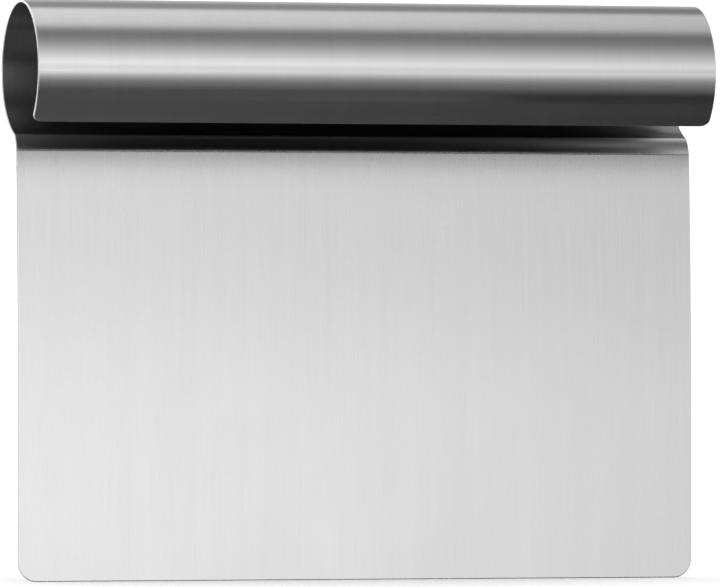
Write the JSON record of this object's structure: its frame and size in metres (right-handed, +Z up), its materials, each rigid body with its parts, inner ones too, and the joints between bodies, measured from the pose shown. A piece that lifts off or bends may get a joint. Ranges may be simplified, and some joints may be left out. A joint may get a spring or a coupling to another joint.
{
  "type": "bench scraper",
  "caption": "Bench scraper formed from one brushed steel sheet: a flat rectangular blade whose top edge bends back and rolls over into an open tube handle.",
  "frame": {"origin": "middle of the scraping edge, on its underside", "axes": "+X along the scraping edge, +Y to the rear, the side that the sheet bends to below the handle, +Z up the blade towards the handle"},
  "size_m": [0.152, 0.03, 0.1242],
  "materials": {
    "blade_steel": "satin, brushed up and down the blade",
    "handle_steel": "satin, brushed round the roll"
  },
  "bodies": {
    "root": {"blade": "blade_steel", "rolled_handle": "handle_steel"}
  },
  "joints": []
}
